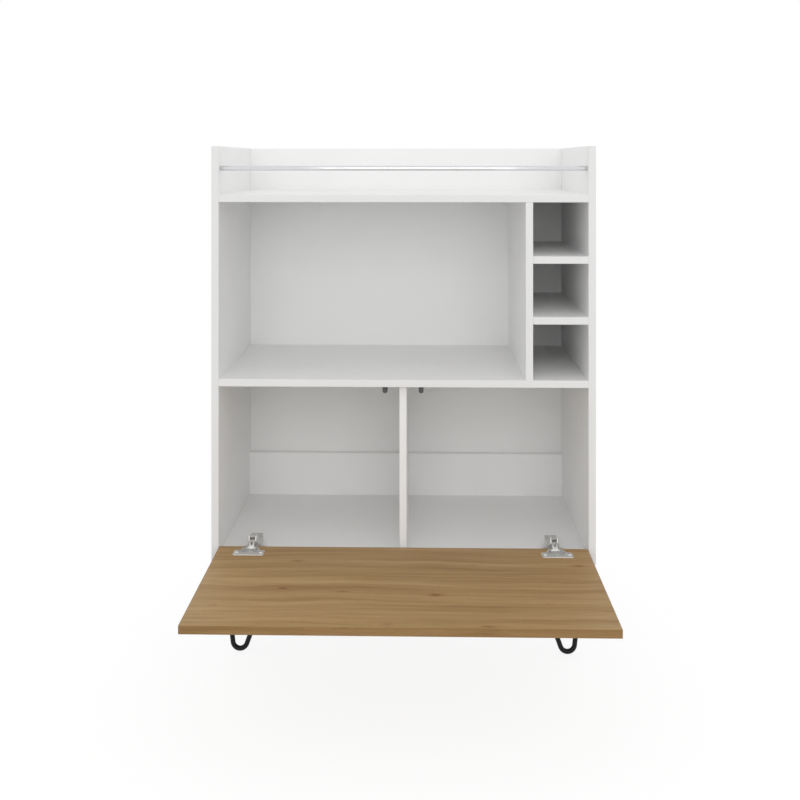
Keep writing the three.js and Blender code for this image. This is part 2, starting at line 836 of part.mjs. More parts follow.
function doorBoard() {
  const outline = roundedRectangle(-doorHeight, pivotAhead, 0, doorFace, edgeRounding);
  const board = pulledAcross(outline, doorWidth, edgeSegments);
  const cutters = [];
  for (const side of [-1, 1]) {
    const x = side * hingeX;
    const boreDepth = cupDepth + fitGap;
    const boreRadius = cupRadius + fitGap;
    const bore = uprightBar(x, -cupCentre, doorFace - boreDepth, boreRadius, boreDepth + overrun, cupSegments);
    cutters.push(bore);
    for (const wing of [-1, 1]) {
      const screwX = x + (wing * cupScrewSpacing) / 2;
      const depth = screwLength - flangeThickness + fitGap;
      cutters.push(pilotHole(screwX, -cupScrewLine, doorFace - depth, depth + overrun));
    }
  }
  return cut(board, cutters);
}

function hingeLinkGroup(label) {
  const group = new THREE.Group();
  group.position.set(0, -cupPinInset, cupPinZ);
  group.add(mesh(`hinge_link_${label}`, hingeLink(), nickelSteel(), 0, 0, 0));
  const nose = linkWidth + 2 * (armLinkClearance + armSheet);
  const pin = crossBar(0, 0, 0, hingePinRadius, nose, screwSegments);
  group.add(mesh(`link_pin_${label}`, pin, nickelSteel(), 0, linkRun, linkRise));
  return group;
}

function doorHingeSet(label, side) {
  const group = new THREE.Group();
  group.position.set(side * hingeX, 0, 0);
  group.add(mesh(`hinge_cup_${label}`, hingeCup(), nickelSteel(), 0, 0, 0));
  const pin = crossBar(0, 0, 0, hingePinRadius, cupPinLength, screwSegments);
  group.add(mesh(`cup_pin_${label}`, pin, nickelSteel(), 0, -cupPinInset, cupPinZ));
  [-1, 1].forEach((wing, index) => {
    const name = `cup_screw_${label}_${index + 1}`;
    const x = (wing * cupScrewSpacing) / 2;
    group.add(screwDown(name, nickelSteel(), x, -cupScrewLine, doorFace + flangeThickness));
  });
  group.add(hingeLinkGroup(label));
  return group;
}

// The door and what turns with it, about the hinge axis
function door() {
  const group = new THREE.Group();
  group.position.set(0, pivotY, pivotZ);
  group.add(mesh('fold_down_door', doorBoard(), oakBoard(), 0, 0, 0));
  group.add(doorHingeSet('left', -1));
  group.add(doorHingeSet('right', 1));
  return group;
}

function fixedHingeSet(label, side) {
  const group = new THREE.Group();
  group.position.set(side * hingeX, frontY, bottomTop);
  group.add(mesh(`hinge_arm_${label}`, hingeArm(), nickelSteel(), 0, 0, 0));
  group.add(mesh(`hinge_plate_${label}`, hingePlate(), nickelSteel(), 0, 0, 0));
  [-1, 1].forEach((wing, index) => {
    const name = `plate_screw_${label}_${index + 1}`;
    const x = (wing * plateScrewSpacing) / 2;
    group.add(screwDown(name, nickelSteel(), x, plateStart + plateWingDepth / 2, plateThickness));
  });
  return group;
}

// Touch catches: a sprung plunger in a housing under the middle shelf
function catchFront() {
  const tip = doorThickness + catchDoorGap;
  return tip + plungerPadThickness + catchTravel + fitGap;
}

function catchHousing() {
  const half = catchWidth / 2;
  const section = new THREE.Shape();
  section.moveTo(half, 0);
  section.lineTo(-half, 0);
  const cornerX = half - catchCorner;
  const cornerY = catchCorner - catchHeight;
  section.absarc(-cornerX, cornerY, catchCorner, Math.PI, Math.PI * 1.5, false);
  section.absarc(cornerX, cornerY, catchCorner, -Math.PI / 2, 0, false);
  const options = { depth: catchLength, bevelEnabled: false, curveSegments: cornerSegments };
  const body = new THREE.ExtrudeGeometry(section, options);
  body.rotateX(Math.PI / 2);
  body.translate(0, catchLength, 0);
  const tabLength = catchTabLength + overrun;
  const tabStart = catchLength - overrun;
  const tab = block(-half, tabStart, -catchTabThickness, catchWidth, tabLength, catchTabThickness);
  const boreLength = plungerLength + catchTravel + fitGap - plungerPadThickness;
  const bore = alongBar(-catchHeight / 2, -overrun, plungerRadius + fitGap, boreLength);
  const screwY = catchLength + catchTabLength / 2;
  const hole = pilotHole(0, screwY, -catchTabThickness - overrun, catchTabThickness + 2 * overrun);
  return cut(join([body, tab]), [bore, hole]);
}

// A round bar along Y from the given depth
function alongBar(height, start, radius, length) {
  const geometry = new THREE.CylinderGeometry(radius, radius, length, rodSegments);
  return geometry.translate(0, start + length / 2, height);
}

function plungerGeometry() {
  const profile = [
    new THREE.Vector2(0, 0),
    new THREE.Vector2(plungerPadRadius - plungerDome, 0),
    new THREE.Vector2(plungerPadRadius, plungerDome),
    new THREE.Vector2(plungerPadRadius, plungerPadThickness),
    new THREE.Vector2(plungerRadius, plungerPadThickness),
    new THREE.Vector2(plungerRadius, plungerLength),
    new THREE.Vector2(0, plungerLength),
  ];
  return new THREE.LatheGeometry(profile, rodSegments);
}

function touchCatch(label, side) {
  const group = new THREE.Group();
  group.position.set(side * catchOffset, frontY + catchFront(), shelfUnder);
  group.add(mesh(`catch_housing_${label}`, catchHousing(), greyPlastic(), 0, 0, 0));
  const tipY = doorThickness + catchDoorGap - catchFront();
  const plunger = plungerGeometry();
  group.add(mesh(`catch_plunger_${label}`, plunger, greyPlastic(), 0, tipY, -catchHeight / 2));
  const screwY = catchLength + catchTabLength / 2;
  group.add(screwUp(`catch_screw_${label}`, nickelSteel(), 0, screwY, -catchTabThickness));
  return group;
}

const cabinet = new THREE.Group();
cabinet.add(carcass());
cabinet.add(bottleRack());
cabinet.add(galleryRod());
cabinet.add(legs());
for (const [label, side] of [['left', -1], ['right', 1]]) {
  cabinet.add(fixedHingeSet(label, side));
  cabinet.add(touchCatch(label, side));
}
cabinet.add(door());

export default cabinet;
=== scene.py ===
import json
from math import cos, pi, radians, sin, tan

import bmesh
import bpy
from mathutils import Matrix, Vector

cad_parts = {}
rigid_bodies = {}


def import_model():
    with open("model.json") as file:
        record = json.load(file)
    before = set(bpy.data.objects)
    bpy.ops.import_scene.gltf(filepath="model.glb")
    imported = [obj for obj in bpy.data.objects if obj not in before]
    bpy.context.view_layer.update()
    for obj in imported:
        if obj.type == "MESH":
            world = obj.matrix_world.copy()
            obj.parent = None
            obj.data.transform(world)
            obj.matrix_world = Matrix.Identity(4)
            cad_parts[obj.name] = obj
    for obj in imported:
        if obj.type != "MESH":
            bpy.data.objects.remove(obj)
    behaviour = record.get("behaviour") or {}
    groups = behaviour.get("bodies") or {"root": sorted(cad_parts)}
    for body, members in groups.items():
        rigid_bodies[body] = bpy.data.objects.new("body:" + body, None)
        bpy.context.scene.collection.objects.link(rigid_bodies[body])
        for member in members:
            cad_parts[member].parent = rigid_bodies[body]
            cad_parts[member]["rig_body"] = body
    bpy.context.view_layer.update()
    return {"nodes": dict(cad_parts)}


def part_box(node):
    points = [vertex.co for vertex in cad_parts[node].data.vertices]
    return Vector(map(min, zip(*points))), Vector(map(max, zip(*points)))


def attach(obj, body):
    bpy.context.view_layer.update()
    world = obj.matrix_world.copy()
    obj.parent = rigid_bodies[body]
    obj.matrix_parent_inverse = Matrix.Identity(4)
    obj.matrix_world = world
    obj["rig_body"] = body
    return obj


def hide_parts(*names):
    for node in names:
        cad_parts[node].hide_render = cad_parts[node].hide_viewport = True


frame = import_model()
bpy.ops.object.select_all(action="DESELECT")

# The room
# A white studio: even light from all round, one large soft lamp in front of the cabinet and above it,
# and a pale floor that is white where nothing shades it and keeps the cabinet's soft shadow.
camera_place = (0.0332, -1.978, 1.0146)
camera_turn = radians(1.143)
camera_lens = 43.4
camera_film = 36
camera_shift = -0.298
room_light = 0.89
lamp_place = Vector((0.15, -3.7, 1.8))
lamp_aim = Vector((0.0, 0.0, 0.7))
lamp_width = 3.0
lamp_height = 2.0
lamp_power = 27
floor_size = 16
floor_colour = (0.60, 0.60, 0.60, 1)
floor_glow = 0.86
floor_shade = (0.16, 0.16, 0.16, 1)
white = (1, 1, 1, 1)

camera_data = bpy.data.cameras.new("camera")
camera_data.sensor_width = camera_film
camera_data.lens = camera_lens
camera_data.shift_y = camera_shift
camera = bpy.data.objects.new("camera", camera_data)
camera.location = camera_place
camera.rotation_euler = (radians(90), 0, camera_turn)
bpy.context.scene.collection.objects.link(camera)
bpy.context.scene.camera = camera
bpy.context.scene.view_settings.view_transform = "Standard"


def seen_directly(tree):
    """1 for rays from the camera and for reflections and glass, 0 for the light that falls on things."""
    path = tree.nodes.new("ShaderNodeLightPath")
    mirrored = tree.nodes.new("ShaderNodeMath")
    mirrored.operation = "MAXIMUM"
    tree.links.new(path.outputs["Is Camera Ray"], mirrored.inputs[0])
    tree.links.new(path.outputs["Is Glossy Ray"], mirrored.inputs[1])
    clear = tree.nodes.new("ShaderNodeMath")
    clear.operation = "MAXIMUM"
    tree.links.new(mirrored.outputs[0], clear.inputs[0])
    tree.links.new(path.outputs["Is Transmission Ray"], clear.inputs[1])
    return clear.outputs[0]


world = bpy.data.worlds.new("room")
world.use_nodes = True
bpy.context.scene.world = world
sky = world.node_tree
sky.nodes.clear()
lighting = sky.nodes.new("ShaderNodeBackground")
lighting.inputs["Color"].default_value = white
lighting.inputs["Strength"].default_value = room_light
backdrop = sky.nodes.new("ShaderNodeBackground")
backdrop.inputs["Color"].default_value = white
backdrop.inputs["Strength"].default_value = 1
sky_mix = sky.nodes.new("ShaderNodeMixShader")
sky.links.new(seen_directly(sky), sky_mix.inputs[0])
sky.links.new(lighting.outputs[0], sky_mix.inputs[1])
sky.links.new(backdrop.outputs[0], sky_mix.inputs[2])
sky_out = sky.nodes.new("ShaderNodeOutputWorld")
sky.links.new(sky_mix.outputs[0], sky_out.inputs["Surface"])

lamp_data = bpy.data.lights.new("soft_lamp", "AREA")
lamp_data.shape = "RECTANGLE"
lamp_data.size = lamp_width
lamp_data.size_y = lamp_height
lamp_data.energy = lamp_power
lamp = bpy.data.objects.new("soft_lamp", lamp_data)
lamp.location = lamp_place
lamp.rotation_euler = (lamp_aim - lamp_place).to_track_quat("-Z", "Y").to_euler()
lamp.visible_camera = False
bpy.context.scene.collection.objects.link(lamp)

bpy.ops.mesh.primitive_plane_add(size=floor_size, location=(0, 0, 0))
floor = bpy.context.object
floor.name = "floor"
floor_finish = bpy.data.materials.new("pale_floor")
floor_finish.use_nodes = True
floor_tree = floor_finish.node_tree
floor_tree.nodes.clear()
floor_bounce = floor_tree.nodes.new("ShaderNodeBsdfDiffuse")
floor_bounce.inputs["Color"].default_value = floor_colour
floor_shadow = floor_tree.nodes.new("ShaderNodeBsdfDiffuse")
floor_shadow.inputs["Color"].default_value = floor_shade
floor_white = floor_tree.nodes.new("ShaderNodeEmission")
floor_white.inputs["Color"].default_value = white
floor_white.inputs["Strength"].default_value = floor_glow
floor_seen = floor_tree.nodes.new("ShaderNodeAddShader")
floor_tree.links.new(floor_shadow.outputs[0], floor_seen.inputs[0])
floor_tree.links.new(floor_white.outputs[0], floor_seen.inputs[1])
floor_mix = floor_tree.nodes.new("ShaderNodeMixShader")
floor_tree.links.new(seen_directly(floor_tree), floor_mix.inputs[0])
floor_tree.links.new(floor_bounce.outputs[0], floor_mix.inputs[1])
floor_tree.links.new(floor_seen.outputs[0], floor_mix.inputs[2])
floor_out = floor_tree.nodes.new("ShaderNodeOutputMaterial")
floor_tree.links.new(floor_mix.outputs[0], floor_out.inputs["Surface"])
floor.data.materials.append(floor_finish)

# The white boards
# Chipboard 15 mm thick with a white melamine facing and a melamine edge band ironed on at the front:
# two sides, top, middle shelf, bottom, lower divider, back rail and the bottle rack's three boards.
board_names = (
    "side_panel_left", "side_panel_right", "top_panel", "middle_shelf", "bottom_panel",
    "centre_divider", "back_rail", "wine_rack_divider", "rack_shelf_lower", "rack_shelf_upper",
)
board_light = (0.915, 0.915, 0.911, 1)
board_dark = (0.892, 0.892, 0.887, 1)
# the edge band's colour, a little darker than the facing: partly its own tone, partly painted shade on the
# front edges
band_tone_and_shade = (0.93, 0.93, 0.925, 1)
board_seam = (0.60, 0.59, 0.57, 1)
board_front = -0.0235
divider_front = -0.0065
band_thickness = 0.0008
seam_half_width = 0.00010
seam_strength = 0.6
board_grain = (1300, 1300, 1300)
drift_scales = (7, 7, 7)
drift_share = 0.7
tone_range = (0.35, 0.65)
cloud_range = (0.3, 0.7)
speck_scales = (260, 260, 260)
smear_scales = (18, 30, 11)
swell_scales = (38, 38, 38)
swell_depth = 0.0004
swell_strength = 0.10
grain_depth = 0.00006
grain_strength = 0.55
facing_roughness = (0.38, 0.52)
facing_shine = 0.35


def new_finish(name, metallic=0.0):
    """A material with its tree, its shader and the place of each point on the piece."""
    material = bpy.data.materials.new(name)
    material.use_nodes = True
    tree = material.node_tree
    shader = tree.nodes["Principled BSDF"]
    shader.inputs["Metallic"].default_value = metallic
    place = tree.nodes.new("ShaderNodeTexCoord").outputs["Object"]
    return material, tree, shader, place


def number(tree, operation, *terms):
    """One sum on numbers or sockets."""
    node = tree.nodes.new("ShaderNodeMath")
    node.operation = operation
    for socket, term in zip(node.inputs, terms):
        if isinstance(term, bpy.types.NodeSocket):
            tree.links.new(term, socket)
        else:
            socket.default_value = term
    return node.outputs[0]


def stretched(tree, place, scales):
    """The place, stretched by a scale for each axis."""
    node = tree.nodes.new("ShaderNodeVectorMath")
    node.operation = "MULTIPLY"
    tree.links.new(place, node.inputs[0])
    node.inputs[1].default_value = scales
    return node.outputs[0]


def cloud(tree, place, scales, detail=3.0, roughness=0.5):
    """Noise from 0 to 1, with its scale on each axis."""
    node = tree.nodes.new("ShaderNodeTexNoise")
    tree.links.new(stretched(tree, place, scales), node.inputs["Vector"])
    node.inputs["Scale"].default_value = 1
    node.inputs["Detail"].default_value = detail
    node.inputs["Roughness"].default_value = roughness
    return node.outputs[0]


def spread(tree, value, low, high, start=0.0, end=1.0):
    """Maps low..high to start..end, and no further."""
    node = tree.nodes.new("ShaderNodeMapRange")
    tree.links.new(value, node.inputs["Value"])
    node.inputs["From Min"].default_value = low
    node.inputs["From Max"].default_value = high
    node.inputs["To Min"].default_value = start
    node.inputs["To Max"].default_value = end
    return node.outputs[0]


def tint(tree, share, first, second, way="MIX"):
    """Goes from the first colour to the second; each is a colour or a socket."""
    node = tree.nodes.new("ShaderNodeMix")
    node.data_type = "RGBA"
    node.blend_type = way
    for socket, term in ((node.inputs[0], share), (node.inputs[6], first), (node.inputs[7], second)):
        if isinstance(term, bpy.types.NodeSocket):
            tree.links.new(term, socket)
        else:
            socket.default_value = term
    return node.outputs[2]


def relief(tree, height, depth, strength, below=None):
    """Bump from a height of 0 to 1 that stands for a depth in metres."""
    node = tree.nodes.new("ShaderNodeBump")
    node.inputs["Strength"].default_value = strength
    node.inputs["Distance"].default_value = depth
    tree.links.new(height, node.inputs["Height"])
    if below:
        tree.links.new(below, node.inputs["Normal"])
    return node.outputs[0]


def axes(tree, place):
    """The three parts of a place."""
    node = tree.nodes.new("ShaderNodeSeparateXYZ")
    tree.links.new(place, node.inputs[0])
    return node.outputs


def white_facing(name, light, dark, grain):
    """White sheet with a faint cloudiness, a fine pressed grain and a roughness that varies a little."""
    material, tree, shader, place = new_finish(name)
    drift = number(tree, "MULTIPLY", cloud(tree, place, drift_scales, detail=4), drift_share)
    specks = number(tree, "MULTIPLY", cloud(tree, place, speck_scales, detail=2), 1 - drift_share)
    toned = number(tree, "ADD", drift, specks)
    colour = tint(tree, spread(tree, toned, *tone_range), dark, light)
    smears = cloud(tree, place, smear_scales, detail=5, roughness=0.6)
    tree.links.new(spread(tree, smears, *cloud_range, *facing_roughness), shader.inputs["Roughness"])
    swell = relief(tree, cloud(tree, place, swell_scales, detail=1), swell_depth, swell_strength)
    pressed = relief(tree, cloud(tree, place, grain, detail=3), grain_depth, grain_strength, swell)
    tree.links.new(pressed, shader.inputs["Normal"])
    shader.inputs["Specular IOR Level"].default_value = facing_shine
    return material, tree, shader, place, colour


white_board, tree, shader, place, colour = white_facing(
    "white_melamine", board_light, board_dark, board_grain)
depth = axes(tree, place)[1]
band_seams = []
front_bands = []
for front in (board_front, divider_front):
    past = number(tree, "ABSOLUTE", number(tree, "SUBTRACT", depth, front + band_thickness))
    band_seams.append(number(tree, "LESS_THAN", past, seam_half_width))
    inside = number(tree, "ABSOLUTE", number(tree, "SUBTRACT", depth, front + band_thickness / 2))
    front_bands.append(number(tree, "LESS_THAN", inside, band_thickness / 2))
# the front edge band is darkened: partly its own tone, partly painted shade on the front faces
band_colour_and_shade = tint(tree, 1.0, colour, band_tone_and_shade, "MULTIPLY")
banded_with_shade = tint(tree, number(tree, "MAXIMUM", *front_bands), colour, band_colour_and_shade)
seam = number(tree, "MULTIPLY", number(tree, "MAXIMUM", *band_seams), seam_strength)
tree.links.new(tint(tree, seam, banded_with_shade, board_seam), shader.inputs["Base Color"])
for name in board_names:
    frame["nodes"][name].material_slots[0].material = white_board

# The back panel
# A thin sheet of hardboard, lacquered white, held in grooves of the sides and pinned to the rear edges
# of the three long boards with small round-headed nails.
back_light = (0.905, 0.905, 0.900, 1)
back_dark = (0.882, 0.882, 0.877, 1)
back_grain = (900, 2400, 900)
back_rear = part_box("back_panel")[1].y
nailed_boards = ("bottom_panel", "middle_shelf", "top_panel")
nail_rows = [sum(corner.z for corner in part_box(name)) / 2 for name in nailed_boards]
nails_in_row = 7
nail_reach = 0.345
nail_head = 0.0024
nail_height = 0.0009
nail_shank = 0.0008
nail_length = 0.018
nail_sides = 16
nail_bright = (0.62, 0.61, 0.59, 1)
nail_dull = (0.40, 0.39, 0.37, 1)
nail_wear_scales = (900, 900, 900)
nail_wear_depth = 0.0001
nail_wear_strength = 0.3
wear_range = (0.35, 0.7)
nail_roughness = (0.25, 0.5)
round_turn = radians(38)


def turned_form(name, rings, sides):
    """A turned form along Z, pulled out ring by ring: each ring is a radius and a height."""
    radius, height = rings[0]
    bpy.ops.object.select_all(action="DESELECT")
    bpy.ops.mesh.primitive_circle_add(
        vertices=sides, radius=radius, fill_type="NGON", location=(0, 0, height))
    form = bpy.context.object
    form.name = name
    bpy.ops.object.transform_apply(location=True, rotation=True, scale=True)
    bpy.ops.object.mode_set(mode="EDIT")
    bpy.ops.mesh.select_all(action="SELECT")
    for next_radius, next_height in rings[1:]:
        bpy.ops.mesh.extrude_region_move(
            TRANSFORM_OT_translate={"value": (0, 0, next_height - height)})
        share = next_radius / radius
        bpy.ops.transform.resize(value=(share, share, 1), center_override=(0, 0, next_height))
        radius, height = next_radius, next_height
    bpy.ops.mesh.select_all(action="SELECT")
    bpy.ops.mesh.normals_make_consistent(inside=False)
    bpy.ops.object.mode_set(mode="OBJECT")
    bpy.ops.object.shade_smooth_by_angle(angle=round_turn)
    return form


def pick(piece):
    """Selects one piece and nothing else."""
    bpy.ops.object.mode_set(mode="OBJECT")
    bpy.ops.object.select_all(action="DESELECT")
    bpy.context.view_layer.objects.active = piece
    piece.select_set(True)


def placed_copy(model, name, place=(0, 0, 0), turn=(0, 0, 0), scale=(1, 1, 1)):
    """A copy of a modelled piece with its own mesh, set in its place; a scale of -1 mirrors it."""
    piece = bpy.data.objects.new(name, model.data.copy())
    bpy.context.scene.collection.objects.link(piece)
    piece.location = place
    piece.rotation_euler = turn
    piece.scale = scale
    pick(piece)
    bpy.ops.object.transform_apply(location=True, rotation=True, scale=True)
    bpy.ops.object.mode_set(mode="EDIT")
    bpy.ops.mesh.select_all(action="SELECT")
    bpy.ops.mesh.normals_make_consistent(inside=False)
    bpy.ops.object.mode_set(mode="OBJECT")
    return piece


hardboard, tree, shader, place, colour = white_facing(
    "white_hardboard", back_light, back_dark, back_grain)
tree.links.new(colour, shader.inputs["Base Color"])
frame["nodes"]["back_panel"].material_slots[0].material = hardboard

nail_finish, tree, shader, place = new_finish("bright_nail", metallic=1.0)
worn = cloud(tree, place, nail_wear_scales, detail=4)
colour = tint(tree, spread(tree, worn, *wear_range), nail_bright, nail_dull)
tree.links.new(colour, shader.inputs["Base Color"])
tree.links.new(spread(tree, worn, *cloud_range, *nail_roughness), shader.inputs["Roughness"])
tree.links.new(relief(tree, worn, nail_wear_depth, nail_wear_strength), shader.inputs["Normal"])

nail = turned_form("nail", (
    (nail_head * 0.55, nail_height), (nail_head * 0.85, nail_height * 0.75), (nail_head, nail_height * 0.3),
    (nail_head, 0), (nail_shank, 0), (nail_shank, -nail_length * 0.85), (nail_shank * 0.2, -nail_length),
), nail_sides)
count = 0
for row in nail_rows:
    for number_in_row in range(nails_in_row):
        count += 1
        across = -nail_reach + 2 * nail_reach * number_in_row / (nails_in_row - 1)
        piece = placed_copy(nail, f"back_nail_{count}", (across, back_rear, row), (radians(-90), 0, 0))
        piece.data.materials.append(nail_finish)
        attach(piece, "carcass")
bpy.data.objects.remove(nail)

# The gallery rod
# One drawn steel rod, chromed and polished, with eased ends that sit in blind holes of the two sides.
rod_low, rod_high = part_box("gallery_rod")
rod_radius = (rod_high.z - rod_low.z) / 2
rod_half = (rod_high.x - rod_low.x) / 2
rod_ease = 0.0007
rod_colour = (0.71, 0.715, 0.725, 1)
rod_worn = (0.65, 0.655, 0.665, 1)
rod_sides = 48
drawn_scales = (14, 900, 900)
drawn_depth = 0.00002
drawn_strength = 0.25
smudge_scales = (22, 60, 60)
smudge_range = (0.3, 0.75)
rod_roughness = (0.10, 0.22)

chrome, tree, shader, place = new_finish("polished_chrome", metallic=1.0)
drawn = cloud(tree, place, drawn_scales, detail=4)
smudge = cloud(tree, place, smudge_scales, detail=5, roughness=0.6)
colour = tint(tree, spread(tree, smudge, *wear_range), rod_colour, rod_worn)
tree.links.new(colour, shader.inputs["Base Color"])
tree.links.new(spread(tree, smudge, *smudge_range, *rod_roughness), shader.inputs["Roughness"])
tree.links.new(relief(tree, drawn, drawn_depth, drawn_strength), shader.inputs["Normal"])

rod = turned_form("polished_rod", (
    (rod_radius - rod_ease, -rod_half), (rod_radius - rod_ease * 0.3, -rod_half + rod_ease * 0.3),
    (rod_radius, -rod_half + rod_ease), (rod_radius, rod_half - rod_ease),
    (rod_radius - rod_ease * 0.3, rod_half - rod_ease * 0.3), (rod_radius - rod_ease, rod_half),
), rod_sides)
rod.location = (rod_low + rod_high) / 2
rod.rotation_euler = (0, radians(90), 0)
pick(rod)
bpy.ops.object.transform_apply(location=True, rotation=True, scale=True)
rod.data.materials.append(chrome)
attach(rod, "carcass")
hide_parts("gallery_rod")

# The fold-down door
# One board with an oak-look facing, its grain across the width, and a slightly redder oak edge band all
# round. It hangs on two cup hinges along its lower edge and lies level when it is let down as a shelf.
oak_light = (0.480, 0.316, 0.149, 1)
oak_middle = (0.392, 0.246, 0.105, 1)
oak_dark = (0.278, 0.160, 0.064, 1)
oak_knot = (0.165, 0.078, 0.030, 1)
oak_halo = (0.330, 0.170, 0.062, 1)
oak_pore = (0.230, 0.130, 0.055, 1)
# the oak edge band's colour: redder than the facing, and darker partly as painted shade on the door's edges
oak_band_tone_and_shade = (0.74, 0.68, 0.60, 1)
oak_band_thickness = 0.0009
oak_shine = 0.28
oak_roughness = (0.56, 0.44)
wander_scales = (2.3, 5, 5)
wander_reach = 0.026
ripple_scales = (13, 38, 38)
ripple_reach = 0.0034
streak_scales = (1.3, 34, 34)
streak_share = 0.46
stripe_scales = (3.2, 120, 120)
stripe_share = 0.38
line_scales = (9, 520, 520)
line_share = 0.16
line_depth = 0.00008
line_strength = 0.35
grain_low, grain_middle, grain_high = 0.36, 0.50, 0.64
pore_scales = (48, 1900, 1900)
pore_range = (0.60, 0.70)
pore_share = 0.45
pore_dullness = 0.15
pore_depth = 0.00010
pore_strength = 0.5
knot_swell = 2.6
knot_push = -0.85
heart_range = (0.78, 0.98)
halo_range = (0.30, 0.90)
# each knot: place across, place out from the front, half length along the grain, half width, strength
oak_knots = (
    (-0.205, 0.071, 0.008, 0.0030, 0.45),
    (-0.217, 0.192, 0.008, 0.0040, 0.75),
    (-0.107, 0.203, 0.010, 0.0024, 0.50),
    (0.062, 0.214, 0.009, 0.0040, 0.70),
    (0.341, 0.085, 0.008, 0.0034, 0.55),
    (0.149, 0.331, 0.011, 0.0030, 0.50),
    (-0.022, 0.326, 0.008, 0.0026, 0.40),
    (0.136, 0.085, 0.006, 0.0020, 0.35),
    (-0.330, 0.262, 0.006, 0.0018, 0.30),
    (0.262, 0.246, 0.006, 0.0018, 0.30),
)

oak, tree, shader, place = new_finish("oak_facing")
across, rearward, up = axes(tree, place)
wander = cloud(tree, place, wander_scales, detail=2)
ripple = cloud(tree, place, ripple_scales, detail=3)
drawn_in = number(tree, "ADD", rearward, spread(tree, wander, 0, 1, -wander_reach, wander_reach))
drawn_in = number(tree, "ADD", drawn_in, spread(tree, ripple, 0, 1, -ripple_reach, ripple_reach))
heart = None
halo = None
for knot_x, knot_out, half_length, half_width, strength in oak_knots:
    knot_y = board_front - knot_out
    along = number(tree, "SUBTRACT", across, knot_x)
    aside = number(tree, "SUBTRACT", rearward, knot_y)
    far = number(tree, "POWER", number(tree, "DIVIDE", along, half_length * knot_swell), 2)
    wide = number(tree, "POWER", number(tree, "DIVIDE", aside, half_width * knot_swell), 2)
    near = number(tree, "EXPONENT", number(tree, "MULTIPLY", number(tree, "ADD", far, wide), -1))
    push = number(tree, "MULTIPLY", number(tree, "MULTIPLY", aside, near), knot_push)
    drawn_in = number(tree, "ADD", drawn_in, push)
    core = number(tree, "MULTIPLY", spread(tree, near, *heart_range), strength)
    rim = number(tree, "MULTIPLY", spread(tree, near, *halo_range), strength)
    heart = core if heart is None else number(tree, "MAXIMUM", heart, core)
    halo = rim if halo is None else number(tree, "MAXIMUM", halo, rim)
joined = tree.nodes.new("ShaderNodeCombineXYZ")
for socket, part in zip(joined.inputs, (across, drawn_in, up)):
    tree.links.new(part, socket)
grain_place = joined.outputs[0]

streaks = cloud(tree, grain_place, streak_scales, detail=4, roughness=0.55)
stripes = cloud(tree, grain_place, stripe_scales, detail=5, roughness=0.6)
lines = cloud(tree, grain_place, line_scales, detail=3)
mixed = number(tree, "MULTIPLY", streaks, streak_share)
mixed = number(tree, "ADD", mixed, number(tree, "MULTIPLY", stripes, stripe_share))
mixed = number(tree, "ADD", mixed, number(tree, "MULTIPLY", lines, line_share))
wood = tint(tree, spread(tree, mixed, grain_low, grain_middle), oak_dark, oak_middle)
wood = tint(tree, spread(tree, mixed, grain_middle, grain_high), wood, oak_light)
pores = spread(tree, cloud(tree, grain_place, pore_scales, detail=2), *pore_range)
wood = tint(tree, number(tree, "MULTIPLY", pores, pore_share), wood, oak_pore)
wood = tint(tree, halo, wood, oak_halo)
wood = tint(tree, heart, wood, oak_knot)
low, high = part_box("fold_down_door")
middle = (low + high) / 2
reach_x = (high.x - low.x) / 2 - oak_band_thickness
reach_y = (high.y - low.y) / 2 - oak_band_thickness
from_middle_x = number(tree, "ABSOLUTE", number(tree, "SUBTRACT", across, middle.x))
from_middle_y = number(tree, "ABSOLUTE", number(tree, "SUBTRACT", rearward, middle.y))
past_x = number(tree, "GREATER_THAN", from_middle_x, reach_x)
past_y = number(tree, "GREATER_THAN", from_middle_y, reach_y)
edge = number(tree, "MAXIMUM", past_x, past_y)
# the edge band is darkened all round: partly its own redder tone, partly painted shade on the edges
banded_with_shade = tint(tree, 1.0, wood, oak_band_tone_and_shade, "MULTIPLY")
tree.links.new(tint(tree, edge, wood, banded_with_shade), shader.inputs["Base Color"])
dullness = spread(tree, mixed, grain_low, grain_high, *oak_roughness)
dullness = number(tree, "ADD", dullness, number(tree, "MULTIPLY", pores, pore_dullness))
tree.links.new(dullness, shader.inputs["Roughness"])
hollows = relief(tree, number(tree, "SUBTRACT", 1, pores), pore_depth, pore_strength)
tree.links.new(relief(tree, lines, line_depth, line_strength, hollows), shader.inputs["Normal"])
shader.inputs["Specular IOR Level"].default_value = oak_shine
frame["nodes"]["fold_down_door"].material_slots[0].material = oak

# The hinges
# Two concealed cup hinges of nickel-plated pressed steel: a cup with its flange let into the door, a bent
# link, an arm with folded cheeks and a mounting plate on the cabinet's bottom, joined by steel pins. The
# right hinge is the mirror of the left one.
nickel_light = (0.76, 0.755, 0.74, 1)
nickel_dark = (0.65, 0.645, 0.63, 1)
pressed_ease = 0.00010
pin_ease = 0.00018
shortest_edge = 0.0001
sharp_turn = radians(35)
eased_turn = radians(50)
steep_turn = radians(60)
flat_turn = radians(1)
merge_reach = 0.000002
level_play = 0.00002
rim_round = 0.0008
cup_reach = 0.0200
cup_centre_y = board_front - 0.022
screw_hole_reach = 0.0034
rolled_scales = (420, 2600, 2600)
rolled_depth = 0.00002
rolled_strength = 0.3
stain_scales = (160, 160, 160)
nickel_roughness = (0.48, 0.62)

nickel, tree, shader, place = new_finish("nickel_plate", metallic=1.0)
rolled = cloud(tree, place, rolled_scales, detail=3)
stain = cloud(tree, place, stain_scales, detail=4, roughness=0.6)
colour = tint(tree, spread(tree, stain, *wear_range), nickel_light, nickel_dark)
tree.links.new(colour, shader.inputs["Base Color"])
tree.links.new(spread(tree, stain, *cloud_range, *nickel_roughness), shader.inputs["Roughness"])
tree.links.new(relief(tree, rolled, rolled_depth, rolled_strength), shader.inputs["Normal"])


